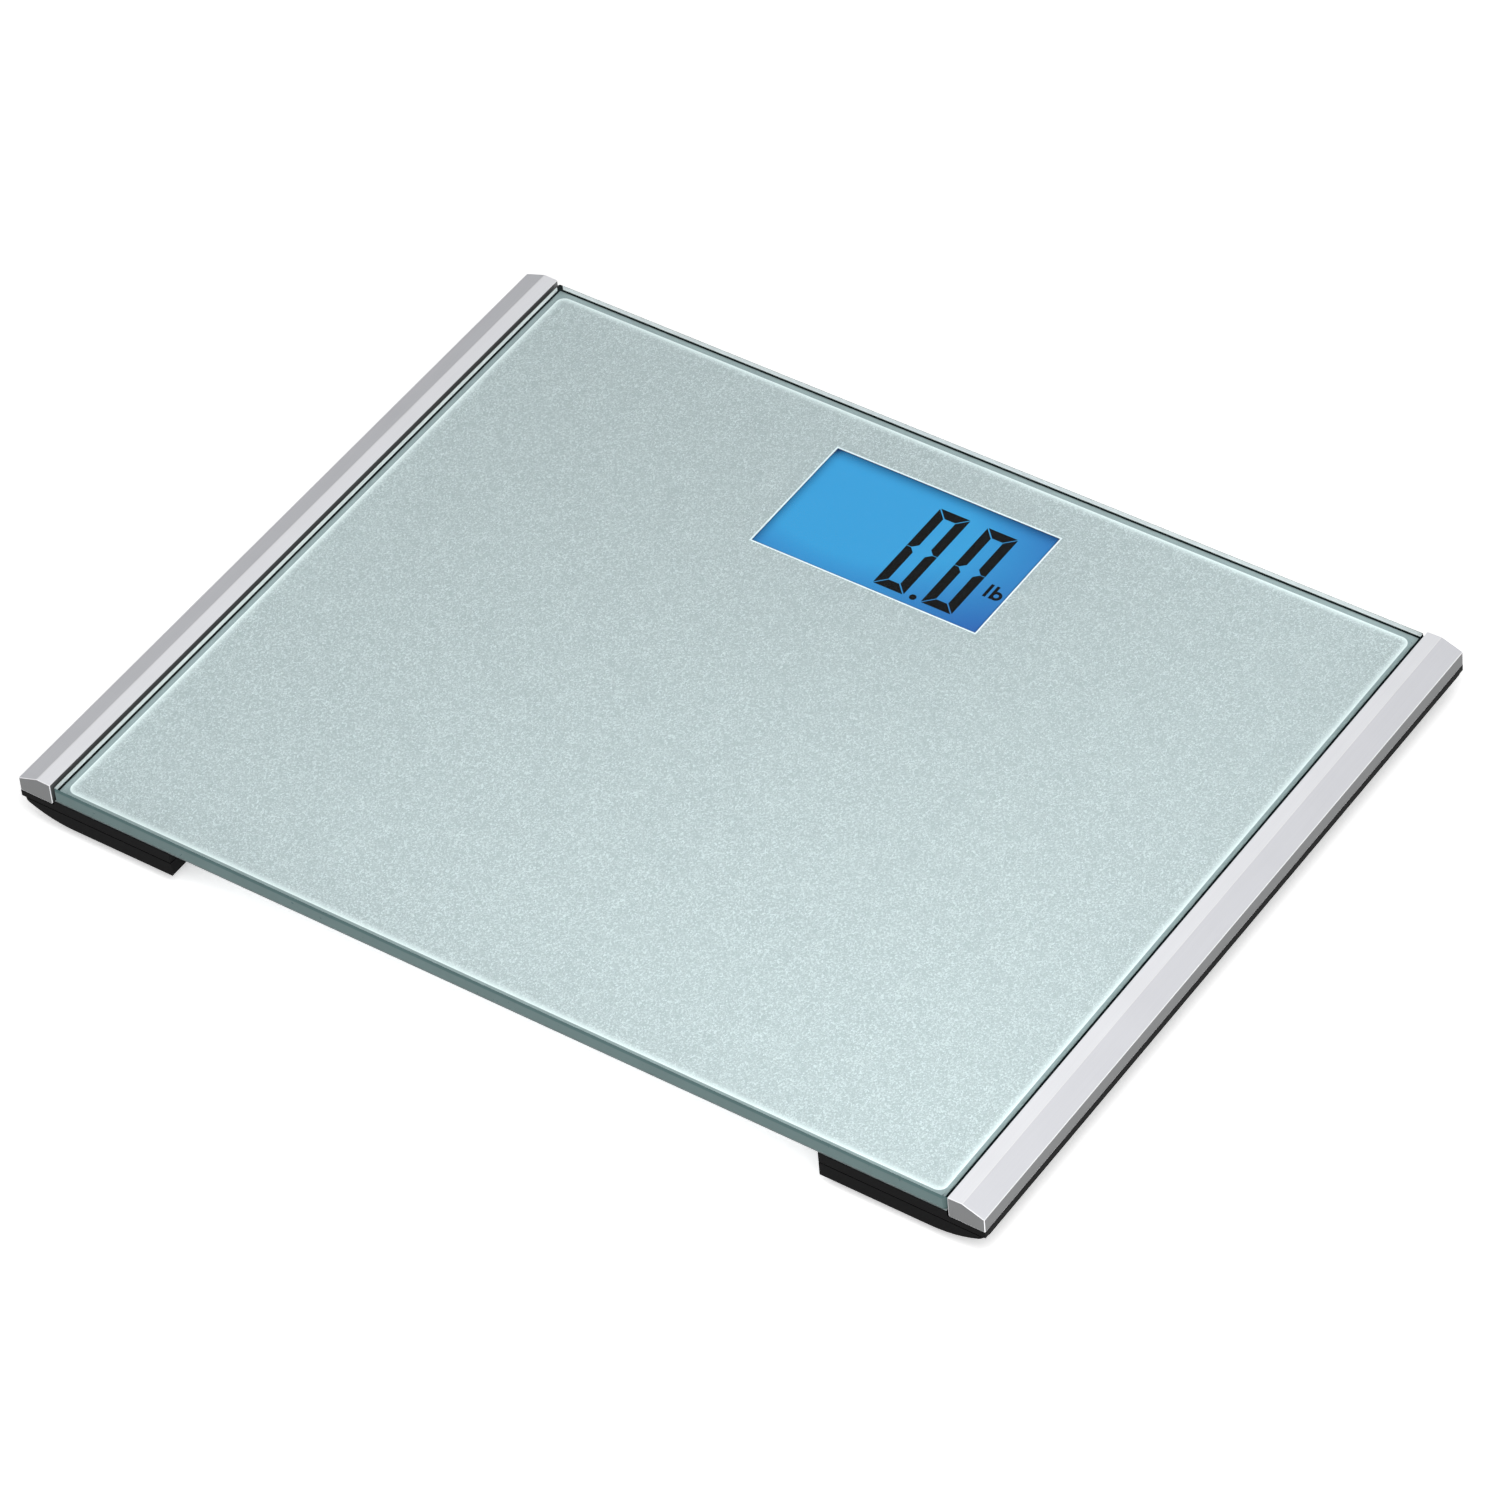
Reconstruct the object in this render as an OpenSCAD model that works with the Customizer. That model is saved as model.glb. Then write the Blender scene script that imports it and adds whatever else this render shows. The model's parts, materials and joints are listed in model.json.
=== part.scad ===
// Digital bathroom scale: glass platform between two metal rails, on two plastic base beams.
// Origin at the centre of the floor under the feet, +X right, +Y away from the user, +Z up.

/* [Platform] */
// Width over the outer faces of the side rails
platform_w = 400; // [380:1:430]
// Depth from the front edge to the back edge
platform_d = 305; // [295:1:330]
// Thickness of the tempered glass
glass_t = 6; // [5:0.5:8]
// Height of the underside of the glass above the floor
glass_under = 15; // [15:0.5:16.5]
// Bevel along the polished edges of the glass
glass_bevel = 0.7; // [0.3:0.1:1.2]
// Gap between the glass and each rail
rail_gap = 0.6; // [0.3:0.1:1]
// Bare border of glass around the back print
print_margin = 2.8; // [2:0.1:6]

/* [Side rails] */
// Width of one rail
rail_w = 14.2; // [12:0.1:18]
// Width of the flat strip beside the glass
rail_flat = 5.7; // [4:0.1:8]
// Height of the rail's ridge above the glass
rail_rise = 1.2; // [0.4:0.1:2]
// Height of the rail's outer wall
rail_wall = 6; // [4:0.5:7]

/* [Base beams] */
// Width of one base beam
beam_w = 65.4; // [62:0.2:72]
// Height of the beams' underside above the floor
beam_lift = 4; // [3.5:0.5:4.5]
// Wall thickness of the beams
beam_wall = 1.8; // [1.4:0.1:2.2]
// Radius of the rounded lower outside edge
beam_round = 44; // [36:1:60]

/* [Feet] */
// Diameter of a foot
foot_d = 40; // [39:0.5:40]
// Diameter of a rubber pad
pad_d = 34; // [28:0.5:36]
// How far a foot gives under full load
foot_travel = 0.5; // [0.2:0.1:0.6]
// Distance from the outer side to the centre of a foot
foot_inset_x = 41.5; // [41.5:0.1:42]
// Distance from the front or back edge to the centre of a foot
foot_inset_y = 32.5; // [28:0.5:50]

/* [Display] */
// Width of the window in the back print
window_w = 96.2; // [80:0.2:98]
// Depth of the window in the back print
window_d = 56.7; // [50:0.1:58]
// Distance from the back edge of the glass to the window
window_back = 19.9; // [17:0.1:24]
// Height of a digit
digit_h = 43.9; // [30:0.1:46]
// Width of a digit
digit_w = 12.9; // [9:0.1:15]
// Width of a stroke
stroke_w = 3.9; // [2:0.1:4.5]
// Distance from one digit to the next
digit_pitch = 20.2; // [18:0.1:22]

/* [Battery bay] */
// Diameter of a cell
cell_d = 10.4; // [9.5:0.1:10.5]
// Length of a cell with its positive cap
cell_l = 44.5; // [40:0.5:45]
// How far the door slides to come free
door_travel = 28; // [28:0.5:29]

/* [Unit button] */
// Diameter of the button
button_d = 7.4; // [6:0.1:8]
// Travel of the button
button_travel = 0.5; // [0.2:0.1:0.5]

/* [Hidden] */
$fn = 64;

LEFT = -1;
RIGHT = 1;
FRONT = -1;
REAR = 1;
half_w = platform_w / 2;
half_d = platform_d / 2;
glass_top = glass_under + glass_t;
rail_inner = half_w - rail_w;
glass_half_w = rail_inner - rail_gap;
glass_corner = 1.5;

// Ink film on the underside of the glass
ink_gap = 0.05;
ink_t = 0.2;
ink_top = glass_under - ink_gap;
ink_low = ink_top - ink_t;
ink_corner = 3;
bond_top = ink_low - 0.05;
border_w = 0.6;
window_y = half_d - window_back - window_d / 2;

// Rail section
rail_inner_rise = 1;
rail_low = glass_under - 2;
rail_mouth = 0.4;
clip_w = 1.6;
clip_drop = 1.3;
clip_l = 20;
clip_play = 0.2;
clip_x = half_w - 8;
clip_ys = [for (i = [-2 : 2]) i * 58];

// Beam section
beam_inner = half_w - beam_w;
split_low = beam_lift + 5.9;
split_gap = 0.35;
split_high = split_low + split_gap;
beam_top_t = 2;
beam_shelf = glass_half_w;
beam_corner = 3;
round_run = sqrt(pow(beam_round, 2) - pow(beam_round - (split_low - beam_lift), 2));
round_x = half_w - round_run;

// Screws that close the beams
beam_screw_r = 1.15;
beam_bore_r = 1.2;
beam_head_r = 2.5;
beam_boss_r = 3.2;
beam_screw_xs = [half_w - 54, half_w - 26];
beam_screw_ys = [-85, 85];
head_t = 0.9;
sink_play = 0.25;
sink_t = head_t + 0.1;
beam_screw_l = 6;

// Feet, from the floor up
foot_x = half_w - foot_inset_x;
foot_y = half_d - foot_inset_y;
foot_low = 1.2;
pad_sink = 0.8;
flange_low = beam_lift + beam_wall + 0.15;
flange_t = 1.2;
flange_out = 1.8;
foot_top = flange_low + 2;
foot_hole_play = 1;
load_cell_w = 27;
load_cell_t = 1.2;
load_cell_low = foot_top - load_cell_t;
cell_pocket_w = 20;
cell_slot_w = 1.2;
cell_tongue_w = 11;
gauge_t = 0.1;
load_button_r = 4.5;
load_button_t = foot_travel + 0.7;
boss_low = foot_top + load_button_t;

// Wires
wire_r = 0.9;
bundle_r = 1.1;
wire_turn = 2;
wire_x = beam_inner + 7;
wire_z = 11.5;
wire_y = 92;
wire_end_x = foot_x - 10;
wire_board_x = 52;
duct_w = 12;
duct_wall = 1.2;
duct_low = wire_z - 2.5;

// Display housing
house_x = 60;
house_wall = 2;
house_y0 = 36;
house_y1 = window_y + window_d / 2 + 12;
house_low = 2.6;
house_floor_t = 1.4;
house_split = 8.2;
house_top = bond_top;
bay_y1 = house_y0 + door_travel;
house_corner = 4;
house_screw_r = 1;
house_bore_r = 1.05;
house_boss_r = 2.8;
house_screws = [for (x = [-56, 56], y = [71, house_y1 - 5]) [x, y]];

// Display stack, from the glass down
gasket_top = house_top;
gasket_low = gasket_top - 1.1;
front_glass_top = gasket_low;
pane_t = 1;
segment_t = 0.12;
segment_top = front_glass_top - pane_t - 0.03;
rear_glass_top = segment_top - segment_t - 0.03;
guide_top = rear_glass_top - pane_t - 0.05;
guide_low = 8.3;
pane_x = window_w / 2 + 2.5;
pane_y = window_d / 2 + 2.5;
zebra_w = 2;

// Digits on the display
stroke_gap = 0.35;
digit_right = 33.8;
digit_y = window_y - 22.4;
point_r = 1.35;
unit_x = digit_right + 4.1;
unit_y = digit_y + 13.6;
unit_h = 6.7;
unit_stroke = 1.2;
unit_bowl_r = 2.2;

// Circuit board
board_low = 6.4;
board_t = 1.6;
board_x = 53;
board_y0 = 69;
board_y1 = house_y1 - 3.5;
board_screw_r = 1;
board_bore_r = 1.05;
board_screws_at = [[-44, board_y0 + 2.5], [44, board_y0 + 2.5],
                   [-50, board_y1 - 3.2], [50, board_y1 - 3.2]];
chip_r = 8;
chip_t = 1.4;

// Battery bay
cell_z = house_low + house_floor_t + cell_d / 2 + 0.05;
cell_ys = [house_y0 + 8.2, house_y0 + 20.2];
cell_gap = 5;
cap_r = 1.9;
cap_l = 0.8;
door_x = 52;
door_t = 1.2;
door_play = 0.3;
door_tab = 2;
door_rib = 1.2;
door_tab_low = house_low + house_floor_t + 0.2;
door_tab_top = door_tab_low + 0.8;
door_y1 = bay_y1 - 1;
contact_t = 0.3;
contact_w = 8;
spring_wire_r = 0.45;
sprung_t = 3.6;
bay_rib_t = 2;
bay_rib_x = cell_gap + cell_l + sprung_t + 0.2 + bay_rib_t / 2;
bay_rib_low = door_tab_top + 0.5;

// Unit button
button_x = 30;
button_y = window_y - 4;
button_low = house_low - 0.3;
button_flange = 1.1;
switch_w = 6;
switch_t = 1;
plunger_t = 0.2;
button_top = board_low - switch_t - plunger_t - button_travel - 0.05;

// Box between two opposite corners
module block(low, high) translate(low) cube(high - low);

// Flat rectangle between two opposite corners
module plate(low, high) translate(low) square(high - low);

// Rectangle centred on the origin with round corners
module rounded(w, d, r) {
    square([w - 2 * r, d], center = true);
    square([w, d - 2 * r], center = true);
    for (x = [-1, 1], y = [-1, 1])
        translate([x * (w / 2 - r), y * (d / 2 - r)]) circle(r);
}

// Section drawn in X and Z, carried along Y about the middle
module along_y(length)
    translate([0, length / 2, 0]) rotate([90, 0, 0]) linear_extrude(length) children();

// The right-hand piece, or its mirror image on the left
module on_side(side)
    if (side < 0) mirror([1, 0, 0]) children();
    else children();

// The rear piece, or its mirror image at the front
module at_end(end)
    if (end < 0) mirror([0, 1, 0]) children();
    else children();

module at_foot(side, end) translate([side * foot_x, end * foot_y, 0]) children();

// Octagonal slab profile: a rectangle with its four corners cut at 45 degrees
module bevelled(w, h, c)
    polygon([[-w / 2 + c, 0], [w / 2 - c, 0], [w / 2, c], [w / 2, h - c],
             [w / 2 - c, h], [-w / 2 + c, h], [-w / 2, h - c], [-w / 2, c]]);

module glass_platform() color([0.62, 0.72, 0.70, 0.5]) {
    w = 2 * glass_half_w;
    intersection() {
        translate([0, 0, glass_under]) along_y(platform_d) bevelled(w, glass_t, glass_bevel);
        translate([0, 0, glass_under]) rotate([0, 0, 90]) along_y(w)
            bevelled(platform_d, glass_t, glass_bevel);
        translate([0, -half_d, 0]) linear_extrude(glass_top) bevelled(w, platform_d, glass_corner);
    }
}

module back_print() color([0.78, 0.80, 0.79])
    translate([0, 0, ink_low]) linear_extrude(ink_t) difference() {
        rounded(2 * (glass_half_w - print_margin), platform_d - 2 * print_margin, ink_corner);
        translate([0, window_y]) square([window_w, window_d], center = true);
    }

module window_border() color("white")
    translate([0, window_y, ink_low]) linear_extrude(ink_t) difference() {
        square([window_w, window_d], center = true);
        square([window_w - 2 * border_w, window_d - 2 * border_w], center = true);
    }

module rail_section()
    polygon([[rail_inner, rail_low + rail_mouth], [rail_inner, glass_top + rail_inner_rise],
             [rail_inner + rail_flat, glass_top + rail_rise], [half_w, rail_low + rail_wall],
             [half_w, rail_low], [rail_inner + rail_mouth, rail_low]]);

module rail(side) color([0.80, 0.80, 0.82]) on_side(side) {
    along_y(platform_d) rail_section();
    for (y = clip_ys)
        translate([clip_x, y, rail_low - clip_drop])
            block([-clip_w / 2, -clip_l / 2, 0], [clip_w / 2, clip_l / 2, clip_drop + 0.5]);
}

// Outside of a beam below its split line, grown inwards by a wall
module beam_section(wall) intersection() {
    plate([beam_inner + wall, beam_lift + wall], [half_w - wall, split_low]);
    union() {
        plate([beam_inner, beam_lift], [round_x, split_low]);
        translate([round_x, beam_lift + beam_round]) circle(beam_round - wall, $fn = 128);
    }
}

module beam_cover(side) color([0.06, 0.06, 0.06]) on_side(side) difference() {
    intersection() {
        along_y(platform_d) beam_section(0);
        translate([half_w - beam_w, 0, 0]) linear_extrude(split_low)
            rounded(2 * beam_w, platform_d, beam_corner);
    }
    along_y(platform_d - 2 * beam_wall) beam_section(beam_wall);
    block([beam_inner + beam_wall, -half_d + beam_wall, split_low - 1],
          [half_w - 2 * beam_wall, half_d - beam_wall, split_low + 1]);
    for (end = [FRONT, REAR])
        at_foot(RIGHT, end) cylinder(h = 2 * beam_lift, r = foot_d / 2 + foot_hole_play);
    for (x = beam_screw_xs, y = beam_screw_ys) translate([x, y, 0]) {
        cylinder(h = 2 * beam_lift, r = beam_screw_r + sink_play);
        cylinder(h = beam_lift + sink_t, r = beam_head_r + sink_play);
    }
}

module beam_shell(side) color([0.08, 0.08, 0.08]) on_side(side) difference() {
    union() {
        difference() {
            along_y(platform_d) {
                plate([beam_inner, split_high], [beam_shelf, bond_top]);
                plate([beam_inner, split_high], [half_w, rail_low]);
            }
            along_y(platform_d - 2 * beam_wall) {
                plate([beam_inner + beam_wall, split_high - 1],
                      [beam_shelf - beam_wall, bond_top - beam_top_t]);
                plate([beam_inner + beam_wall, split_high - 1],
                      [half_w - beam_wall, rail_low - beam_wall]);
            }
        }
        for (end = [FRONT, REAR])
            at_foot(RIGHT, end) translate([0, 0, boss_low])
                cylinder(h = bond_top - beam_top_t - boss_low + 0.1, r = load_button_r + 1.5);
        for (x = beam_screw_xs, y = beam_screw_ys)
            translate([x, y, beam_lift + beam_wall])
                cylinder(h = bond_top - beam_top_t - beam_lift - beam_wall + 0.1, r = beam_boss_r);
    }
    for (y = clip_ys)
        translate([clip_x, y, 0])
            block([-clip_w / 2 - clip_play, -clip_l / 2 - clip_play, rail_low - beam_wall - 1],
                  [clip_w / 2 + clip_play, clip_l / 2 + clip_play, rail_low + 1]);
    for (x = beam_screw_xs, y = beam_screw_ys)
        translate([x, y, 0]) cylinder(h = beam_lift + sink_t + beam_screw_l + 0.3, r = beam_bore_r);
    translate([beam_inner - 1, wire_y, wire_z]) rotate([0, 90, 0])
        cylinder(h = beam_wall + 2, r = bundle_r + 0.3);
}

// Pan-head screw standing on its head, with a cross recess
module screw(shank_r, head_r, length, at_z) {
    translate([0, 0, at_z]) difference() {
        cylinder(h = head_t, r = head_r);
        for (turn = [0, 90]) rotate([0, 0, turn])
            block([-0.25, -head_r * 0.55, -1], [0.25, head_r * 0.55, head_t / 2]);
    }
    translate([0, 0, at_z + head_t / 2]) cylinder(h = length + head_t / 2, r = shank_r);
}

module beam_screws() color([0.55, 0.56, 0.58])
    for (side = [LEFT, RIGHT], x = beam_screw_xs, y = beam_screw_ys)
        translate([side * x, y, 0])
            screw(beam_screw_r, beam_head_r, beam_screw_l, beam_lift + sink_t - head_t);

// Quarter bend of the harness from +X to +Y, about its own centre
module wire_bend(r)
    rotate_extrude(angle = 90) translate([wire_turn, 0]) circle(r);

// Wires from two load cells, joined in the beam and led through the duct to the board
module wire_harness(side) color([0.75, 0.12, 0.10]) on_side(side) {
    for (end = [FRONT, REAR]) at_end(end) {
        translate([wire_x, 0, wire_z]) rotate([-90, 0, 0]) cylinder(h = foot_y - wire_turn, r = wire_r);
        translate([wire_x + wire_turn, foot_y - wire_turn, wire_z]) rotate([0, 0, 90])
            wire_bend(wire_r);
        translate([wire_x + wire_turn, foot_y, wire_z]) rotate([0, 90, 0])
            cylinder(h = wire_end_x - wire_x - wire_turn, r = wire_r);
    }
    translate([wire_board_x + wire_turn, wire_y, wire_z]) rotate([0, 90, 0])
        cylinder(h = wire_x + 1.5 - wire_board_x - wire_turn, r = bundle_r);
    translate([wire_board_x + wire_turn, wire_y, wire_z - wire_turn]) rotate([90, 0, 0])
        rotate([0, 0, 90]) wire_bend(bundle_r);
    translate([wire_board_x, wire_y, board_low + board_t])
        cylinder(h = wire_z - wire_turn - board_low - board_t, r = bundle_r);
}

module wire_duct(side) color([0.10, 0.10, 0.10]) on_side(side) difference() {
    block([house_x + 0.1, wire_y - duct_w / 2, duct_low],
          [beam_inner - 0.1, wire_y + duct_w / 2, bond_top]);
    block([house_x, wire_y - duct_w / 2 + duct_wall, duct_low + duct_wall],
          [beam_inner, wire_y + duct_w / 2 - duct_wall, glass_under]);
}

// Outline of the display housing with round corners
module house_outline(inset)
    translate([0, (house_y0 + house_y1) / 2])
        rounded(2 * (house_x - inset), house_y1 - house_y0 - 2 * inset, house_corner - inset);

// Upper half of the housing, glued under the glass
module display_housing() color([0.09, 0.09, 0.10]) difference() {
    union() {
        translate([0, 0, house_split]) linear_extrude(house_top - house_split) difference() {
            house_outline(0);
            house_outline(house_wall);
        }
        block([-house_x + 1, bay_y1, house_split], [house_x - 1, bay_y1 + 1.6, house_top]);
        for (x = [-bay_rib_x, 0, bay_rib_x])
            block([x - bay_rib_t / 2, house_y0 + house_wall + 0.1, bay_rib_low],
                  [x + bay_rib_t / 2, bay_y1 - 0.1, house_top]);
        for (x = [-bay_rib_x, 0, bay_rib_x])
            block([x - bay_rib_t / 2, house_y0 + 1, house_split],
                  [x + bay_rib_t / 2, bay_y1 + 1, house_top]);
        for (at = house_screws)
            translate([at[0], at[1], house_split])
                cylinder(h = house_top - house_split - 1, r = house_boss_r);
    }
    for (at = house_screws)
        translate([at[0], at[1], 0]) cylinder(h = house_split + 3.3, r = house_bore_r);
    for (x = [-house_x, house_x])
        translate([x - 6, wire_y, wire_z]) rotate([0, 90, 0]) cylinder(h = 12, r = bundle_r + 0.3);
}

// Lower half of the housing, with the battery opening and the button hole
module housing_cover() color([0.09, 0.09, 0.10]) difference() {
    floor_top = house_low + house_floor_t;
    union() {
        difference() {
            translate([0, 0, house_low]) linear_extrude(house_split - house_low) house_outline(0);
            translate([0, 0, floor_top]) linear_extrude(house_split) house_outline(house_wall);
        }
        block([-house_x + 1, bay_y1, floor_top - 0.1], [house_x - 1, bay_y1 + 1.6, house_split]);
        for (at = house_screws)
            translate([at[0], at[1], floor_top - 0.1])
                cylinder(h = house_split - floor_top + 0.1, r = house_boss_r);
        for (at = board_screws_at)
            translate([at[0], at[1], floor_top - 0.1])
                cylinder(h = board_low - floor_top + 0.1, r = house_boss_r);
    }
    block([-door_x - door_play, house_y0 - 1, house_low - 1],
          [door_x + door_play, door_y1 + door_play, floor_top + 1]);
    block([-door_x - door_tab - door_play, house_y0 - 1, house_low - 1],
          [door_x + door_tab + door_play, house_y0 + house_wall, door_tab_top + door_play]);
    for (at = house_screws) translate([at[0], at[1], 0]) {
        cylinder(h = house_split + 1, r = house_screw_r + sink_play);
        cylinder(h = house_low + sink_t, r = 2 + sink_play);
    }
    for (at = board_screws_at)
        translate([at[0], at[1], floor_top]) cylinder(h = board_low, r = board_bore_r);
    translate([button_x, button_y, 0]) cylinder(h = floor_top + 1, r = button_d / 2 + 0.3);
}

module housing_screws() color([0.55, 0.56, 0.58])
    for (at = house_screws)
        translate([at[0], at[1], 0])
            screw(house_screw_r, 2, house_split - house_low - sink_t + 3, house_low + sink_t - head_t);

module lcd_gasket() color([0.05, 0.06, 0.10])
    translate([0, window_y, gasket_low]) linear_extrude(gasket_top - gasket_low) difference() {
        square([2 * pane_x, 2 * pane_y], center = true);
        square([window_w + 0.6, window_d + 0.6], center = true);
    }

module lcd_front_glass() color([0.75, 0.85, 0.95, 0.3])
    block([-pane_x, window_y - pane_y, front_glass_top - pane_t],
          [pane_x, window_y + pane_y + 1.5 * zebra_w, front_glass_top]);

// Top stroke of a digit w wide and h high, mitred at both ends
module stroke_top(w, h, t, gap)
    polygon([[gap, h], [w - gap, h], [w - t - gap, h - t], [t + gap, h - t]]);

// Upper right stroke of the same digit
module stroke_side(w, h, t, gap) {
    middle = h / 2 + gap / 2;
    polygon([[w, h - gap], [w, middle], [w - t / 2, middle], [w - t, middle + t / 2],
             [w - t, h - t - gap]]);
}

module digit_zero(w, h, t, gap)
    for (turn = [0, 1]) translate([turn * w, turn * h]) rotate(180 * turn) {
        stroke_top(w, h, t, gap);
        stroke_side(w, h, t, gap);
        translate([w, 0]) mirror([1, 0]) stroke_side(w, h, t, gap);
    }

// Unit mark: the letters l and b
module unit_mark(h, t, r) {
    square([t, h]);
    translate([2 * t, 0]) {
        square([t, h]);
        translate([r, r]) difference() {
            circle(r);
            circle(r - t);
        }
    }
}

module lcd_segments() color([0.03, 0.03, 0.04])
    translate([0, 0, segment_top - segment_t]) linear_extrude(segment_t) {
        for (i = [0, 1])
            translate([digit_right - digit_w - i * digit_pitch, digit_y])
                digit_zero(digit_w, digit_h, stroke_w, stroke_gap);
        translate([digit_right - digit_w - (digit_pitch - digit_w) / 2, digit_y + point_r / 2])
            circle(point_r);
        translate([unit_x, unit_y]) unit_mark(unit_h, unit_stroke, unit_bowl_r);
    }

module lcd_rear_glass() color([0.20, 0.60, 0.88])
    block([-pane_x, window_y - pane_y, rear_glass_top - pane_t],
          [pane_x, window_y + pane_y, rear_glass_top]);

module light_guide() color([0.85, 0.92, 0.98])
    block([-pane_x + 2, window_y - pane_y, guide_low], [pane_x, window_y + pane_y, guide_top]);

module backlight_leds() color([0.95, 0.93, 0.70])
    for (y = [-18, 0, 18])
        translate([-pane_x, window_y + y, board_low + board_t])
            block([0, -1.75, 0], [1.6, 1.75, 1.4]);

module zebra_strip() color([0.85, 0.55, 0.60])
    translate([0, window_y + pane_y + 0.4, board_low + board_t])
        block([-pane_x + 3, 0, 0], [pane_x - 3, zebra_w, front_glass_top - pane_t - board_low - board_t]);

module circuit_board() color([0.05, 0.35, 0.15]) difference() {
    block([-board_x, board_y0, board_low], [board_x, board_y1, board_low + board_t]);
    for (at = board_screws_at)
        translate([at[0], at[1], 0]) cylinder(h = 2 * board_low, r = board_screw_r + sink_play);
}

module board_screws() color([0.70, 0.70, 0.72])
    for (at = board_screws_at)
        translate([at[0], at[1], board_low + board_t]) mirror([0, 0, 1])
            screw(board_screw_r, 1.8, board_t + 1.4, 0 - head_t);

// Glob of resin over the controller, a shallow dome under the board
module controller_chip() color([0.04, 0.04, 0.04]) {
    dome_r = (pow(chip_r, 2) + pow(chip_t, 2)) / (2 * chip_t);
    translate([-18, window_y, board_low]) mirror([0, 0, 1]) rotate_extrude() intersection() {
        translate([0, chip_t - dome_r]) circle(dome_r, $fn = 128);
        square([chip_r + 1, chip_t + 1]);
    }
}

module tact_switch() color([0.20, 0.20, 0.22])
    translate([button_x, button_y, board_low - switch_t]) {
        block([-switch_w / 2, -switch_w / 2, 0], [switch_w / 2, switch_w / 2, switch_t]);
        translate([0, 0, -plunger_t]) cylinder(h = plunger_t + 0.2, r = 1.6);
    }

// One cell along X with its positive cap towards +X
module battery_cell() rotate([0, 90, 0]) {
    cylinder(h = cell_l - cap_l, r = cell_d / 2);
    cylinder(h = cell_l, r = cap_r);
}

module battery_cells() color([0.15, 0.35, 0.25])
    for (row = [0, 1], x = [-cell_gap - cell_l, cell_gap])
        translate([x, cell_ys[row], cell_z])
            if (row == 0) battery_cell();
            else translate([cell_l, 0, 0]) mirror([1, 0, 0]) battery_cell();

// Plate behind a cap, or plate with a spring of touching turns behind a flat end
module battery_contact(sprung) {
    block([0, -contact_w / 2, -contact_w / 2], [contact_t, contact_w / 2, contact_w / 2]);
    if (sprung)
        for (i = [0 : 3])
            translate([contact_t + (i + 0.5) * 1.6 * spring_wire_r, 0, 0]) rotate([0, 90, 0])
                rotate_extrude($fn = 32) translate([3.4 - 0.25 * i, 0])
                    circle(spring_wire_r, $fn = 16);
}

module battery_contacts() color([0.75, 0.76, 0.78])
    for (side = [LEFT, RIGHT], row = [0, 1]) translate([0, cell_ys[row], cell_z]) {
        sprung = (row == 0) == (side < 0);
        on_side(side) {
            translate([cell_gap + cell_l + (sprung ? sprung_t : contact_t) + 0.1, 0, 0])
                mirror([1, 0, 0]) battery_contact(sprung);
            translate([cell_gap - (sprung ? contact_t : sprung_t) - 0.1, 0, 0])
                battery_contact(!sprung);
        }
    }

module battery_door() color([0.10, 0.10, 0.11]) difference() {
    top = house_low + door_t;
    union() {
        block([-door_x, house_y0, house_low], [door_x, door_y1, top]);
        block([-door_x - door_tab, house_y0, house_low],
              [door_x + door_tab, house_y0 + house_wall - door_play, door_tab_top]);
        for (side = [LEFT, RIGHT]) on_side(side) {
            block([door_x - door_rib, house_y0, top - 0.2], [door_x, door_y1 - 6, door_tab_top]);
            for (y = [house_y0 + 4, door_y1 - 12])
                block([door_x - door_rib, y, door_tab_low],
                      [door_x + door_tab, y + 6, door_tab_top]);
        }
    }
    for (i = [0 : 4])
        block([-12, house_y0 + 6 + 2 * i, house_low - 1], [12, house_y0 + 7 + 2 * i, house_low + 0.4]);
}

module unit_button() color([0.75, 0.76, 0.78]) translate([button_x, button_y, 0]) {
    translate([0, 0, button_low]) cylinder(h = button_top - button_low, r = button_d / 2);
    translate([0, 0, house_low + house_floor_t + 0.05])
        cylinder(h = button_top - house_low - house_floor_t - 0.05, r = button_d / 2 + button_flange);
}

module foot(side, end) color([0.12, 0.12, 0.12]) at_foot(side, end) difference() {
    union() {
        translate([0, 0, foot_low]) cylinder(h = foot_top - foot_low, r = foot_d / 2);
        translate([0, 0, flange_low]) cylinder(h = flange_t, r = foot_d / 2 + flange_out);
    }
    translate([0, 0, foot_low - 1]) cylinder(h = pad_sink + 1, r = pad_d / 2 + 0.05);
    translate([0, 0, load_cell_low]) linear_extrude(load_cell_t + 1)
        square(load_cell_w + 0.4, center = true);
    translate([0, 0, load_cell_low - 1]) linear_extrude(2) square(cell_pocket_w, center = true);
}

module rubber_pad(side, end) color([0.20, 0.20, 0.20]) at_foot(side, end) difference() {
    cylinder(h = foot_low + pad_sink, r = pad_d / 2);
    for (r = [6, 10])
        translate([0, 0, -1]) difference() {
            cylinder(h = 1.4, r = r + 0.8);
            cylinder(h = 1.4, r = r);
        }
}

// Steel plate whose middle tongue is cut free on three sides
module load_cell(side, end) color([0.70, 0.71, 0.73]) at_foot(side, end)
    translate([0, 0, load_cell_low]) linear_extrude(load_cell_t) difference() {
        square(load_cell_w, center = true);
        difference() {
            square(cell_tongue_w + 2 * cell_slot_w, center = true);
            square(cell_tongue_w, center = true);
            translate([-3, 0]) square([6, cell_tongue_w]);
        }
        for (x = [-1, 1]) translate([x * (load_cell_w / 2 - 3), 0]) circle(1.2);
    }

module strain_gauge(side, end) color([0.80, 0.55, 0.20]) at_foot(side, end)
    block([-2.5, -4, load_cell_low - gauge_t], [2.5, 4, load_cell_low]);

module load_button(side, end) color([0.85, 0.85, 0.82]) at_foot(side, end)
    translate([0, 0, foot_top]) cylinder(h = load_button_t, r = load_button_r);

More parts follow.
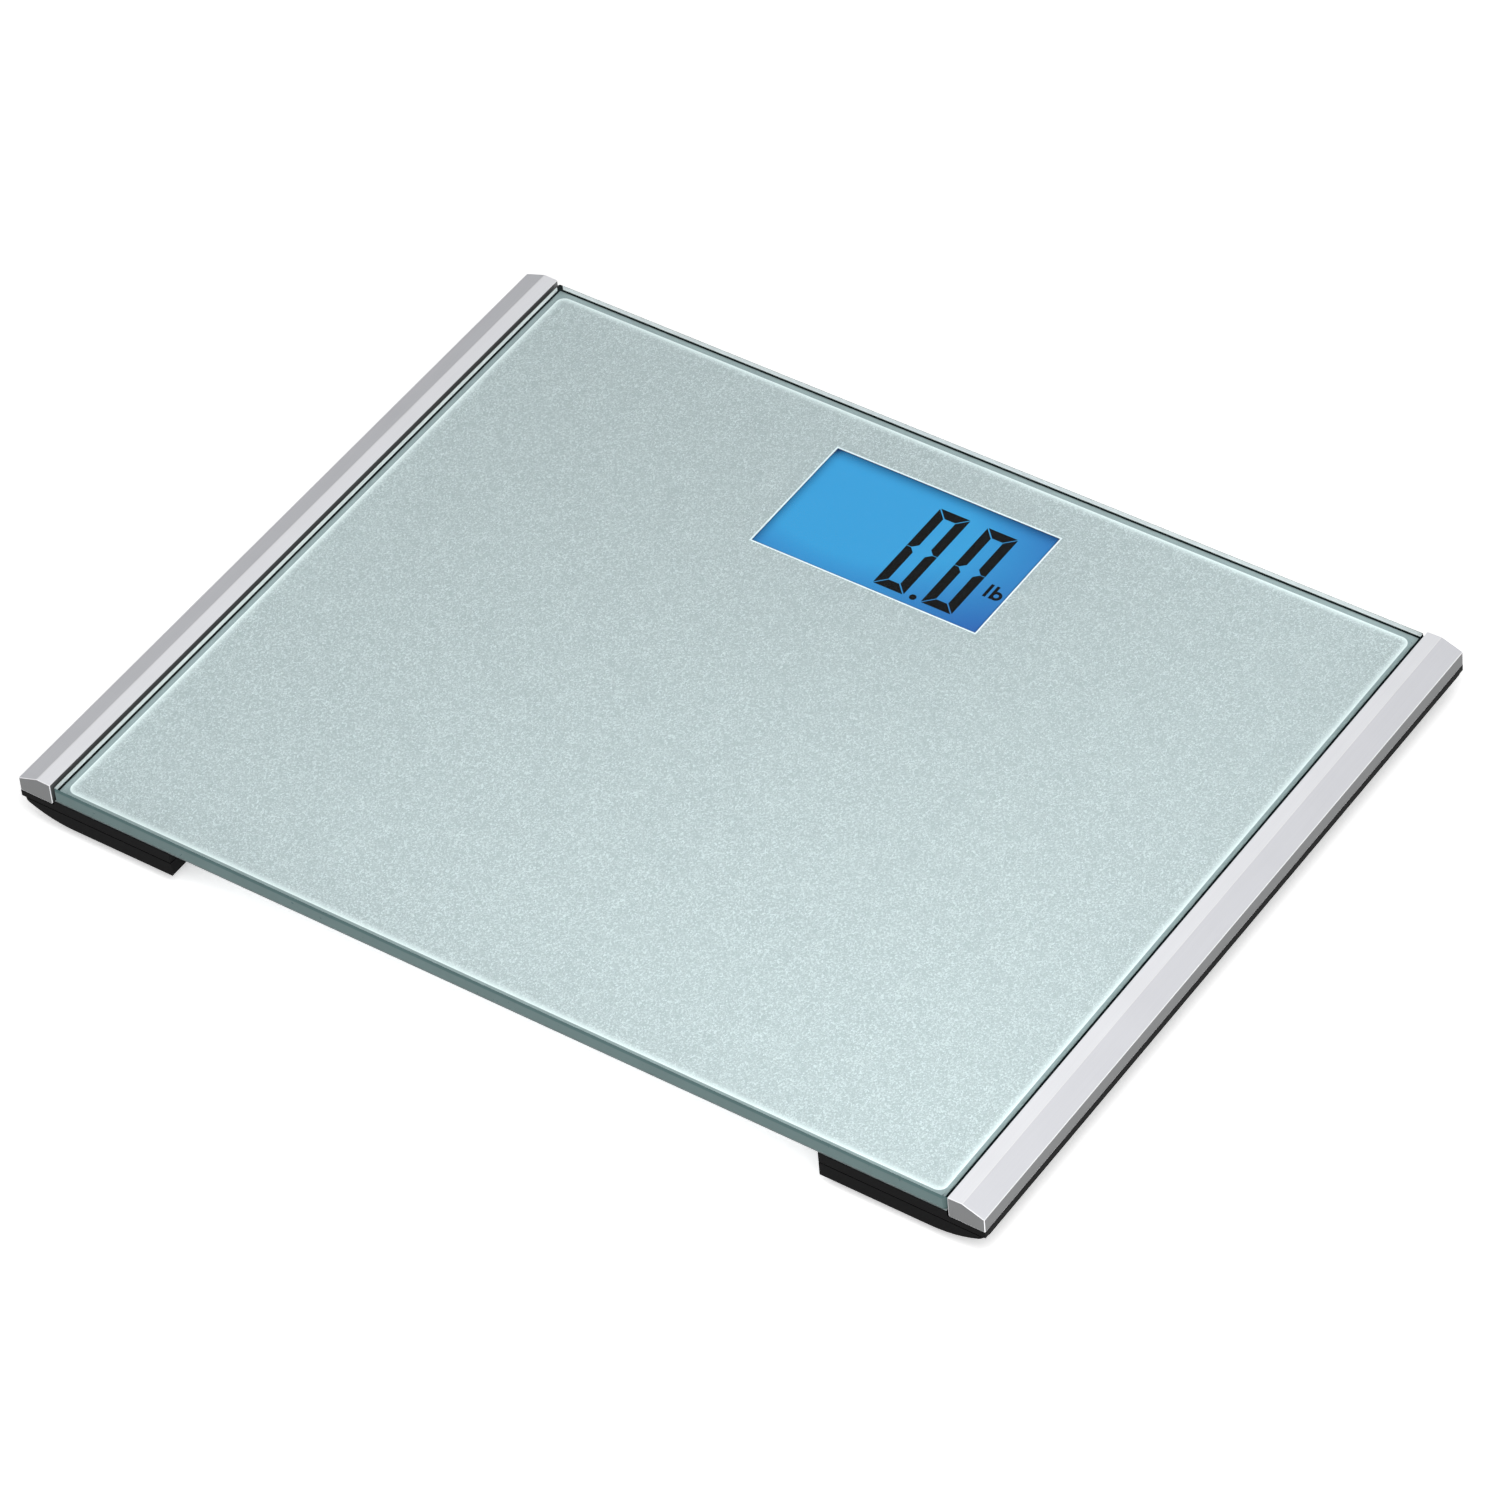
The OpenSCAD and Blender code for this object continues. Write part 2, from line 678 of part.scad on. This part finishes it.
glass_platform();
back_print();
window_border();
rail(LEFT);  // left_rail
rail(RIGHT);  // right_rail
beam_shell(LEFT);  // left_beam_shell
beam_shell(RIGHT);  // right_beam_shell
beam_cover(LEFT);  // left_beam_cover
beam_cover(RIGHT);  // right_beam_cover
beam_screws();
wire_harness(LEFT);  // left_wire_harness
wire_harness(RIGHT);  // right_wire_harness
wire_duct(LEFT);  // left_wire_duct
wire_duct(RIGHT);  // right_wire_duct
display_housing();
housing_cover();
housing_screws();
lcd_gasket();
lcd_front_glass();
lcd_segments();
lcd_rear_glass();
light_guide();
backlight_leds();
zebra_strip();
circuit_board();
board_screws();
controller_chip();
tact_switch();
battery_cells();
battery_contacts();
battery_door();
unit_button();
foot(LEFT, FRONT);  // front_left_foot
foot(RIGHT, FRONT);  // front_right_foot
foot(LEFT, REAR);  // rear_left_foot
foot(RIGHT, REAR);  // rear_right_foot
rubber_pad(LEFT, FRONT);  // front_left_rubber_pad
rubber_pad(RIGHT, FRONT);  // front_right_rubber_pad
rubber_pad(LEFT, REAR);  // rear_left_rubber_pad
rubber_pad(RIGHT, REAR);  // rear_right_rubber_pad
load_cell(LEFT, FRONT);  // front_left_load_cell
load_cell(RIGHT, FRONT);  // front_right_load_cell
load_cell(LEFT, REAR);  // rear_left_load_cell
load_cell(RIGHT, REAR);  // rear_right_load_cell
strain_gauge(LEFT, FRONT);  // front_left_strain_gauge
strain_gauge(RIGHT, FRONT);  // front_right_strain_gauge
strain_gauge(LEFT, REAR);  // rear_left_strain_gauge
strain_gauge(RIGHT, REAR);  // rear_right_strain_gauge
load_button(LEFT, FRONT);  // front_left_load_button
load_button(RIGHT, FRONT);  // front_right_load_button
load_button(LEFT, REAR);  // rear_left_load_button
load_button(RIGHT, REAR);  // rear_right_load_button
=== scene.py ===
"""Digital bathroom scale: finishes, and finely edged pieces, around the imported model."""

import json
import math

import bmesh
import bpy
from mathutils import Matrix, Vector


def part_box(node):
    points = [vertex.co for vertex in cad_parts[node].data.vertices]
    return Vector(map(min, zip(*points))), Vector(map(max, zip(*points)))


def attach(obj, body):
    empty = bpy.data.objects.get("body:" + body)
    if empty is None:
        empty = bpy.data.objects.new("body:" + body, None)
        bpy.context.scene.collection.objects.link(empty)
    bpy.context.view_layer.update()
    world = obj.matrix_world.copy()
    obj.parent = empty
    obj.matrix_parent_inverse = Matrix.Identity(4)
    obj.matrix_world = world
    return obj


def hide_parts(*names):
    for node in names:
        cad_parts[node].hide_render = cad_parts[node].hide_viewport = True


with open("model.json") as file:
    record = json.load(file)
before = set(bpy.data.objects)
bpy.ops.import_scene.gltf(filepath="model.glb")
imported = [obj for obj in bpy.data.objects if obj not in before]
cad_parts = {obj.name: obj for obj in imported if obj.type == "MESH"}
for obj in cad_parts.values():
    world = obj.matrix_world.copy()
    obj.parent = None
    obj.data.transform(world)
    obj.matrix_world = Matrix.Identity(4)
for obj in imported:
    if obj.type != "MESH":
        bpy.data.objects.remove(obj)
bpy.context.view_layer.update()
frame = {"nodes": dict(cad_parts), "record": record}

MM = 0.001
CELL_LENGTH = 44.5 * MM
BORDER_STRIP = 1.4 * MM
WINDOW_SLANT = Vector((-1.5 * MM, 1.9 * MM, 0))
SIDES = ("left", "right")
BODY_OF = {node: body for body, nodes in frame["record"]["behaviour"]["bodies"].items() for node in nodes}
SLOT_OF = {row["node"]: row["material_slot"] for row in frame["record"]["subparts"]}


# ---------------------------------------------------------------- shader building

class Value:
    """A number that varies over a surface; arithmetic on it adds Math nodes."""

    def __init__(self, finish, socket):
        self.finish = finish
        self.socket = socket

    def math(self, operation, first, second):
        made = self.finish.node("Math", {"operation": operation}, {0: first, 1: second})
        return Value(self.finish, made.outputs[0])

    def __add__(self, other):
        return self.math("ADD", self, other)

    def __sub__(self, other):
        return self.math("SUBTRACT", self, other)

    def __rsub__(self, other):
        return self.math("SUBTRACT", other, self)

    def __mul__(self, other):
        return self.math("MULTIPLY", self, other)

    def __truediv__(self, other):
        return self.math("DIVIDE", self, other)

    def __gt__(self, other):
        return self.math("GREATER_THAN", self, other)

    __radd__ = __add__
    __rmul__ = __mul__

    def least(self, other):
        return self.math("MINIMUM", self, other)

    def power(self, exponent):
        return self.math("POWER", self, exponent)

    def to_and_fro(self, span):
        """Rises from 0 to span and falls back, over and over."""
        return self.math("PINGPONG", self, span)

    def ramp(self, low, high):
        """0 at low, 1 at high, straight between them and held beyond them."""
        made = self.finish.node("MapRange", {"clamp": True},
                                {"Value": self, "From Min": low, "From Max": high})
        return Value(self.finish, made.outputs["Result"])


class Finish:
    """A material under construction. Patterns are laid out in Object coordinates, in metres."""

    def __init__(self, name):
        self.material = bpy.data.materials.new(name)
        self.material.use_nodes = True
        self.tree = self.material.node_tree
        self.tree.nodes.clear()
        self.output = self.node("OutputMaterial")
        self.place = self.node("TexCoord").outputs["Object"]

    def feed(self, socket, value):
        value = value.socket if isinstance(value, Value) else value
        if isinstance(value, bpy.types.NodeSocket):
            self.tree.links.new(value, socket)
        else:
            socket.default_value = value

    def node(self, kind, settings=None, inputs=None):
        made = self.tree.nodes.new("ShaderNode" + kind)
        for name, setting in (settings or {}).items():
            setattr(made, name, setting)
        for name, value in (inputs or {}).items():
            self.feed(made.inputs[name], value)
        return made

    def placed(self, centre=(0, 0, 0), stretch=(1, 1, 1)):
        shift = [-c * s for c, s in zip(centre, stretch)]
        return self.node("Mapping", None, {"Vector": self.place, "Location": shift,
                                           "Scale": stretch}).outputs["Vector"]

    def noise(self, size, detail=2.0, stretch=(1, 1, 1)):
        """Soft grain whose lumps are about size metres across."""
        made = self.node("TexNoise", None, {"Vector": self.placed(stretch=stretch), "Scale": 1 / size,
                                            "Detail": detail})
        return Value(self, made.outputs["Fac"])

    def flakes(self, size):
        """Cells about size metres across, each with its own random colour."""
        return self.node("TexVoronoi", {"feature": "F1"}, {"Vector": self.place, "Scale": 1 / size})

    def channel(self, vector, axis):
        return Value(self, self.node("SeparateXYZ", None, {0: vector}).outputs[axis])

    def inset(self, box, corner):
        """How far a point lies inside a box's upright sides, up to the radius of their rounded corners."""
        low, high = box
        core = (high - low) / 2 + Vector((-corner, -corner, 1.0))  # so tall that height never counts
        reach = self.node("VectorMath", {"operation": "ABSOLUTE"}, {0: self.placed((low + high) / 2)})
        reach = self.node("VectorMath", {"operation": "SUBTRACT"}, {0: reach.outputs[0], 1: core})
        reach = self.node("VectorMath", {"operation": "MAXIMUM"}, {0: reach.outputs[0], 1: (0, 0, 0)})
        reach = self.node("VectorMath", {"operation": "LENGTH"}, {0: reach.outputs[0]})
        return corner - Value(self, reach.outputs["Value"])

    def mixed(self, factor, first, second):
        made = self.node("Mix", {"data_type": "RGBA"}, {0: factor, 6: first, 7: second})
        return made.outputs[2]

    def bump(self, height, depth, strength=1.0):
        made = self.node("Bump", None, {"Height": height, "Distance": depth, "Strength": strength})
        return made.outputs["Normal"]

    def principled(self, **inputs):
        """A Principled shader; a socket's name is written with underscores."""
        named = {name.replace("_", " "): value for name, value in inputs.items()}
        return self.node("BsdfPrincipled", None, named).outputs[0]

    def done(self, shader):
        self.tree.links.new(shader, self.output.inputs["Surface"])
        return self.material


def colour(red, green, blue):
    """A colour from its 0 to 255 screen values."""
    return tuple(((c / 255) ** 2.2) for c in (red, green, blue)) + (1.0,)


def toned(base, factor):
    """A colour made lighter or darker by a factor."""
    return tuple(c * factor for c in base[:3]) + (1.0,)


# ---------------------------------------------------------------- finishes

def polished_glass(name, tint, ior):
    """Clear coated glass that bends what is seen through it, reflects little, and lets the lamps through."""
    f = Finish(name)
    glass = f.principled(Base_Color=tint, Roughness=0.0, IOR=ior, Transmission_Weight=1.0,
                         Specular_Tint=(0.15, 0.15, 0.15, 1.0))
    lamps = f.node("BsdfTransparent", None, {"Color": tint}).outputs[0]
    shadow = f.node("LightPath").outputs["Is Shadow Ray"]
    return f.done(f.node("MixShader", None, {0: shadow, 1: glass, 2: lamps}).outputs[0])


def sparkle_ink(name, light, dark, painted_rim_highlight, border, box):
    """Silver ink full of fine tilted flakes, with a painted highlight just inside a box's sides and the
    border's grey painted shade outside.
    """
    f = Finish(name)
    flakes = f.flakes(0.45 * MM)
    tilt = f.node("VectorMath", {"operation": "SUBTRACT"}, {0: flakes.outputs["Color"], 1: (0.5, 0.5, 0.5)})
    tilt = f.node("VectorMath", {"operation": "SCALE"}, {0: tilt.outputs[0], "Scale": 0.3})
    up = f.node("NewGeometry").outputs["Normal"]
    tilted = f.node("VectorMath", {"operation": "ADD"}, {0: up, 1: tilt.outputs[0]})
    tilted = f.node("VectorMath", {"operation": "NORMALIZE"}, {0: tilted.outputs[0]})
    pick = f.channel(flakes.outputs["Color"], "Y")
    field = f.mixed(pick.power(2.2), dark, light)
    inside = f.inset(box, 3.5 * MM)
    # painted highlight: the ink pales towards the box's sides, standing in for light glowing at the print's
    # edge
    field = f.mixed(inside.ramp(3.4 * MM, 0.3 * MM).power(2.0), field, painted_rim_highlight)
    # painted shade: outside the box the ink takes the grey that stands in for the shade seen through the
    # clear border
    tone = f.mixed(inside.ramp(0.1 * MM, -0.1 * MM), field, border)
    return f.done(f.principled(Base_Color=tone, Metallic=0.12, Roughness=0.5 + f.noise(30 * MM) * 0.06,
                               Specular_IOR_Level=0.2, Normal=tilted.outputs[0]))


def satin_silver(name, base, metallic=0.3, roughness=0.27):
    """Fine satin silver with a trace of drawing marks along the rail."""
    f = Finish(name)
    marks = f.noise(0.5 * MM, 3.0, (1, 0.02, 1))
    cloud = f.noise(18 * MM)
    tone = f.mixed(marks * 0.5 + cloud * 0.5, toned(base, 0.93), toned(base, 1.05))
    return f.done(f.principled(Base_Color=tone, Metallic=metallic, Roughness=roughness + marks * 0.08,
                               Normal=f.bump(marks, 0.004 * MM)))


def moulded(name, base, roughness=0.5, grain=0.35 * MM, depth=0.01 * MM, gloss=0.5):
    """Moulded plastic: a fine spark-eroded grain and slightly uneven tone."""
    f = Finish(name)
    fine = f.noise(grain, 3.0)
    cloud = f.noise(12 * MM)
    tone = f.mixed(cloud * 0.6 + fine * 0.4, toned(base, 0.85), toned(base, 1.15))
    return f.done(f.principled(Base_Color=tone, Roughness=roughness - 0.06 + fine * 0.12,
                               Specular_IOR_Level=gloss, Normal=f.bump(fine, depth)))


def bare_metal(name, base, roughness=0.3):
    """Plated steel, rolled along X."""
    f = Finish(name)
    lines = f.noise(0.25 * MM, 3.0, (0.06, 1, 1))
    tone = f.mixed(lines, toned(base, 0.85), toned(base, 1.08))
    return f.done(f.principled(Base_Color=tone, Metallic=1.0, Roughness=roughness - 0.05 + lines * 0.12,
                               Normal=f.bump(lines, 0.004 * MM)))


def lit_field(name, box):
    """The display's blue light: deeper at the front right, with painted shade from its frame beside it, most
    at back and left.
    """
    f = Finish(name)
    low, high = box
    centre = [(a + b) / 2 for a, b in zip(low, high)]
    half = [(b - a) / 2 for a, b in zip(low, high)]
    at = f.placed(centre, (1 / half[0], 1 / half[1], 1))
    fade = f.node("VectorMath", {"operation": "DISTANCE"}, {0: at, 1: (-0.45, 0.25, 0.0)})
    far = Value(f, fade.outputs["Value"]).ramp(0.9, 2.0)
    glow = f.mixed(far, (0.045, 0.375, 0.72, 1), (0.02, 0.10, 0.41, 1))
    across, up = f.channel(at, "X"), f.channel(at, "Y")
    # painted shade: the window frame's shadow along the back and left sides, and a dark strip of painted
    # shade just inside the frame
    shadow = (0 - across).ramp(0.88, 1.02).power(2.0) + up.ramp(0.74, 1.02).power(2.0)
    frame_shade_strip = f.inset(box, 1.2 * MM).ramp(1.1 * MM, 0.5 * MM)
    glow = f.mixed((shadow + frame_shade_strip * 0.8).least(1.0), glow, (0.001, 0.012, 0.07, 1))
    speck = f.noise(0.3 * MM)
    return f.done(f.principled(Base_Color=f.mixed(speck, colour(4, 16, 40), colour(6, 20, 48)), Roughness=0.4,
                               Specular_IOR_Level=0.2, Emission_Color=glow, Emission_Strength=1.0))


def board_mask(name):
    """Green solder mask over faint copper runs."""
    f = Finish(name)
    runs = f.node("TexBrick", {"offset": 0.5}, {"Vector": f.place, "Scale": 120.0, "Mortar Size": 0.03,
                                                "Color1": (0, 0, 0, 1), "Color2": (0, 0, 0, 1),
                                                "Mortar": (1, 1, 1, 1)})
    mask = Value(f, runs.outputs["Fac"])
    return f.done(f.principled(Base_Color=f.mixed(mask, colour(12, 84, 44), colour(26, 112, 62)),
                               Roughness=0.3 + f.noise(2 * MM) * 0.1, Normal=f.bump(mask, 0.03 * MM)))


def battery_sleeve(name):
    """Shrink sleeve on a cell: green, with a dark band round the negative end."""
    f = Finish(name)
    band = (f.channel(f.place, "X") / (CELL_LENGTH / 2)).to_and_fro(1.0) > 0.8
    wrinkles = f.bump(f.noise(3 * MM), 0.01 * MM)
    return f.done(f.principled(Base_Color=f.mixed(band, colour(34, 112, 74), colour(20, 24, 24)),
                               Roughness=0.28 + f.noise(4 * MM) * 0.08, Normal=wrinkles))


def silver_field():
    """The printed area less the strips at its front and right that take the border's grey painted shade."""
    low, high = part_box("back_print")
    return low + Vector((0, BORDER_STRIP, 0)), high - Vector((BORDER_STRIP, 0, 0))


def seen_field():
    """The part of the lit field that shows through the window to someone at the front right, whose edges
    carry the painted frame shade.
    """
    return [corner + WINDOW_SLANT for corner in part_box("window_border")]


# grey standing in for the shadowed floor seen through the glass's clear border: painted shade
BORDER_PAINTED_SHADE = colour(156, 166, 167)

FINISHES = {
    "clear_glass": polished_glass("clear_glass", (0.92, 0.972, 0.972, 1.0), 1.45),
    "lcd_glass": polished_glass("lcd_glass", (0.92, 0.97, 1.0, 1.0), 1.12),
    # colour(250, 252, 252) is the painted highlight at the edge of the silver field
    "silver_print": sparkle_ink("silver_print", colour(228, 230, 231), colour(176, 181, 183),
                                colour(250, 252, 252), BORDER_PAINTED_SHADE, silver_field()),
    "white_ink": moulded("white_ink", colour(250, 252, 254), 0.5),
    "satin_rail": satin_silver("satin_rail", colour(243, 244, 248), 0.15),
    "black_plastic": moulded("black_plastic", colour(11, 11, 12), 0.5, gloss=0.04),
    "housing_plastic": moulded("housing_plastic", colour(24, 24, 26), 0.5, gloss=0.3),
    "screw_steel": bare_metal("screw_steel", colour(172, 174, 178)),
    "wire_jacket": moulded("wire_jacket", colour(176, 40, 34), 0.4),
    "black_foam": moulded("black_foam", colour(8, 14, 28), 0.9, 0.6 * MM, 0.08 * MM, gloss=0.1),
    "lcd_ink": moulded("lcd_ink", colour(2, 2, 3), 0.6, 3 * MM, 0.002 * MM, gloss=0.03),
    "blue_backlight": lit_field("blue_backlight", seen_field()),
    "light_guide_plastic": moulded("light_guide_plastic", colour(222, 236, 245), 0.35),
    "led_resin": moulded("led_resin", colour(240, 232, 170), 0.25),
    "elastomer": moulded("elastomer", colour(214, 150, 160), 0.7),
    "board_laminate": board_mask("board_laminate"),
    "chip_resin": moulded("chip_resin", colour(20, 20, 20), 0.25),
    "switch_plastic": moulded("switch_plastic", colour(60, 60, 64), 0.5),
    "battery_wrap": battery_sleeve("battery_wrap"),
    "contact_nickel": bare_metal("contact_nickel", colour(206, 204, 198), 0.25),
    "button_plastic": moulded("button_plastic", colour(188, 190, 194), 0.4),
    "foot_plastic": moulded("foot_plastic", colour(40, 40, 42), 0.5),
    "foot_rubber": moulded("foot_rubber", colour(46, 46, 47), 0.8, 0.5 * MM, 0.03 * MM),
    "cell_steel": bare_metal("cell_steel", colour(190, 192, 196), 0.28),
    "gauge_film": moulded("gauge_film", colour(206, 146, 60), 0.35),
    "silicone": moulded("silicone", colour(214, 214, 208), 0.6),
}

GROUND_EDGE = moulded("ground_glass_edge", colour(80, 103, 103), 0.3, 2 * MM, 0.002 * MM, gloss=0.25)
# pale walls and dark bevels stand in for the bright and dark lines the glass edge shows: painted highlight
# and painted dark reflection
WALL_PAINTED_HIGHLIGHT = moulded("glass_wall_painted_highlight", colour(246, 249, 249), 0.4, 2 * MM, 0.002 * MM, gloss=0.25)
BEVEL_PAINTED_DARK_REFLECTION = moulded("glass_bevel_painted_dark_reflection", colour(20, 28, 30), 0.45, 2 * MM, 0.002 * MM, gloss=0.05)
# grey sheet standing in for the shade under the clear border of the glass: painted shade
SHADE_BAND_PAINT = moulded("shade_band_painted", BORDER_PAINTED_SHADE, 0.5)
# copies of the rail's silver laid on faces by their direction: painted shade on walls, ends and slope,
# painted highlight on the rounded edges
RAIL_SIDE_PAINTED_SHADE = satin_silver("rail_side_painted_shade", colour(106, 107, 108), 0.3, 0.4)
RAIL_SLOPE_PAINTED_SHADE = satin_silver("rail_slope_painted_shade", colour(221, 222, 227), 0.22)
RAIL_ARRIS_PAINTED_HIGHLIGHT = satin_silver("rail_edge_painted_highlight", colour(250, 250, 252), 0.3, 0.3)


# ---------------------------------------------------------------- pieces

def placed_piece(name, bm, body, finishes):
    """The object for a finished bmesh, with its finishes in order, moving with a body."""
    mesh = bpy.data.meshes.new(name)
    bm.to_mesh(mesh)
    bm.free()
    piece = bpy.data.objects.new(name, mesh)
    bpy.context.scene.collection.objects.link(piece)
    for finish in finishes:
        mesh.materials.append(finish)
    even = piece.modifiers.new("even_shading", "WEIGHTED_NORMAL")
    even.keep_sharp = True
    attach(piece, body)
    return piece


def smooth_faces(bm, smooth_below):
    """Smooth shading, with an edge kept sharp where its faces meet at more than the angle."""
    for face in bm.faces:
        face.smooth = True
    for edge in bm.edges:
        edge.smooth = len(edge.link_faces) == 2 and edge.calc_face_angle() < smooth_below


def softened(node, width, segments=2, sharp=32, dress=None, extra=()):
    """A copy of a CAD node with its edges of over sharp degrees rounded off by width.

    dress picks, for each face, the node's own finish (0) or one of the extra ones (1, 2, ...)."""
    bm = bmesh.new()
    bm.from_mesh(frame["nodes"][node].data)
    bmesh.ops.remove_doubles(bm, verts=bm.verts, dist=0.0005 * MM)
    bmesh.ops.dissolve_limit(bm, angle_limit=math.radians(0.4), verts=bm.verts, edges=bm.edges)
    corners = [e for e in bm.edges if len(e.link_faces) == 2 and e.calc_face_angle() > math.radians(sharp)]
    bmesh.ops.bevel(bm, geom=corners, offset=width, offset_type="OFFSET", segments=segments, profile=0.5,
                    affect="EDGES", material=-1, clamp_overlap=True)
    bm.normal_update()
    for face in bm.faces if dress else []:
        face.material_index = dress(face)
    smooth_faces(bm, math.radians(35))
    piece = placed_piece(node + "_finished", bm, BODY_OF[node], [FINISHES[SLOT_OF[node]], *extra])
    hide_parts(node)


def rail_painted_shading(face):
    """Top plain; the slope a darker copy as painted shade, walls and ends a much darker copy as painted
    shade, and the rounded edges between them pale as a painted highlight.
    """
    across, along = abs(face.normal.x), abs(face.normal.y)
    if max(across, along) > 0.985:
        return 1
    if max(across, along) > 0.4 or 0.06 < across < 0.32:
        return 2
    return 3 if across > 0.32 else 0


def glass_dress(face):
    """Ground front edge with its bevels; back and side walls pale as a painted highlight, between bevels dark
    as a painted reflection; faces polished.
    """
    if face.normal.y < -0.3:
        return 1
    outward = max(face.normal.y, abs(face.normal.x))
    return 2 if outward > 0.9 else 3 if outward > 0.3 else 0


def painted_shade_band():
    """Grey band of painted shade between the silver field and the edge of the glass, standing in for the
    shadow seen through the clear border, under the field's pale edge.
    """
    width, from_edge, thickness = 4.5 * MM, 0.3 * MM, 0.03 * MM
    low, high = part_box("glass_platform")
    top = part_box("back_print")[0].z - 0.01 * MM
    span = high - low - 2 * Vector((from_edge, from_edge, 0))
    bm = bmesh.new()
    bmesh.ops.create_grid(bm, x_segments=1, y_segments=1, size=0.5)
    bmesh.ops.scale(bm, vec=(span.x, span.y, 1), verts=bm.verts)
    bmesh.ops.translate(bm, vec=(0, (low.y + high.y) / 2, top), verts=bm.verts)
    bmesh.ops.inset_region(bm, faces=list(bm.faces), thickness=width, use_boundary=True)
    inner = max(bm.faces, key=lambda face: face.calc_area())
    bmesh.ops.delete(bm, geom=[inner], context="FACES")
    bmesh.ops.solidify(bm, geom=list(bm.faces), thickness=thickness)
    bmesh.ops.recalc_face_normals(bm, faces=list(bm.faces))
    placed_piece("painted_shade_band", bm, BODY_OF["back_print"], [SHADE_BAND_PAINT])


for node, piece in frame["nodes"].items():
    piece.data.materials.clear()
    piece.data.materials.append(FINISHES[SLOT_OF[node]])

softened("glass_platform", 0.12 * MM, dress=glass_dress, extra=[GROUND_EDGE, WALL_PAINTED_HIGHLIGHT, BEVEL_PAINTED_DARK_REFLECTION])
painted_shade_band()
for side in SIDES:
    softened(side + "_rail", 0.22 * MM, 3, 15, rail_painted_shading, [RAIL_SIDE_PAINTED_SHADE, RAIL_ARRIS_PAINTED_HIGHLIGHT, RAIL_SLOPE_PAINTED_SHADE])
    softened(side + "_beam_shell", 0.15 * MM)
    softened(side + "_beam_cover", 0.25 * MM)
    for end in ("front_", "rear_"):
        softened(end + side + "_foot", 0.25 * MM)
        softened(end + side + "_rubber_pad", 0.3 * MM)
for node in ("display_housing", "housing_cover", "battery_door", "unit_button"):
    softened(node, 0.15 * MM)


# ---------------------------------------------------------------- camera, floor and light

AZIMUTH = math.radians(38.04)
ELEVATION = math.radians(44.69)
ROLL = math.radians(-5.46)
DISTANCE = 2.511
AIM = Vector((0.0182, -0.0109, 0.021))


def add_camera():
    data = bpy.data.cameras.new("camera")
    data.lens = 174.78
    data.sensor_width = 36.0
    data.shift_x = -0.01024
    data.shift_y = -0.00101
    data.clip_start = 0.05
    data.clip_end = 20.0
    back = Vector((math.cos(ELEVATION) * math.sin(AZIMUTH), -math.cos(ELEVATION) * math.cos(AZIMUTH),
                   math.sin(ELEVATION)))
    camera = bpy.data.objects.new("camera", data)
    turn = back.to_track_quat("Z", "Y").to_matrix().to_4x4() @ Matrix.Rotation(ROLL, 4, "Z")
    camera.matrix_world = Matrix.Translation(AIM + back * DISTANCE) @ turn
    bpy.context.scene.collection.objects.link(camera)
    bpy.context.scene.camera = camera


def add_light(name, place, size, power, aim=(0, 0, 0)):
    data = bpy.data.lights.new(name, "AREA")
    data.shape = "RECTANGLE"
    data.size, data.size_y = size
    data.energy = power
    light = bpy.data.objects.new(name, data)
    away = Vector(place) - Vector(aim)
    light.matrix_world = Matrix.Translation(place) @ away.to_track_quat("Z", "Y").to_matrix().to_4x4()
    bpy.context.scene.collection.objects.link(light)


def add_floor():
    bm = bmesh.new()
    bmesh.ops.create_grid(bm, x_segments=1, y_segments=1, size=6.0)
    mesh = bpy.data.meshes.new("floor")
    bm.to_mesh(mesh)
    bm.free()
    floor = bpy.data.objects.new("floor", mesh)
    bpy.context.scene.collection.objects.link(floor)
    f = Finish("floor_white")
    tone = f.mixed(f.noise(0.2), (0.93, 0.93, 0.93, 1), (0.95, 0.95, 0.95, 1))
    mesh.materials.append(f.done(f.principled(Base_Color=tone, Roughness=0.9, Emission_Color=(1, 1, 1, 1),
                                              Emission_Strength=0.45)))


def add_sky(dim, bright, source):
    """Studio light, bright around its source's direction and dim on the far side, before a white wall."""
    world = bpy.data.worlds.new("studio")
    bpy.context.scene.world = world
    world.use_nodes = True
    nodes, links = world.node_tree.nodes, world.node_tree.links
    facing = nodes.new("ShaderNodeVectorMath")
    facing.operation = "DOT_PRODUCT"
    facing.inputs[1].default_value = Vector(source).normalized()
    links.new(nodes.new("ShaderNodeTexCoord").outputs["Generated"], facing.inputs[0])
    level = nodes.new("ShaderNodeMapRange")
    aside, towards = -0.5, 0.8
    for name, value in (("From Min", aside), ("From Max", towards), ("To Min", dim), ("To Max", bright)):
        level.inputs[name].default_value = value
    links.new(facing.outputs["Value"], level.inputs["Value"])
    wall = nodes.new("ShaderNodeMath")
    wall.operation = "MAXIMUM"
    links.new(level.outputs["Result"], wall.inputs[0])
    links.new(nodes.new("ShaderNodeLightPath").outputs["Is Camera Ray"], wall.inputs[1])
    nodes["Background"].inputs["Color"].default_value = (1.0, 1.0, 1.0, 1.0)
    links.new(wall.outputs[0], nodes["Background"].inputs["Strength"])


add_camera()
add_floor()
add_sky(0.1, 0.7, (0.4, -0.5, 0.75))
add_light("key_panel", (0.36, -0.36, 0.82), (0.7, 0.7), 4.9, (0.05, -0.05, 0))
bpy.context.scene.view_settings.view_transform = "Standard"
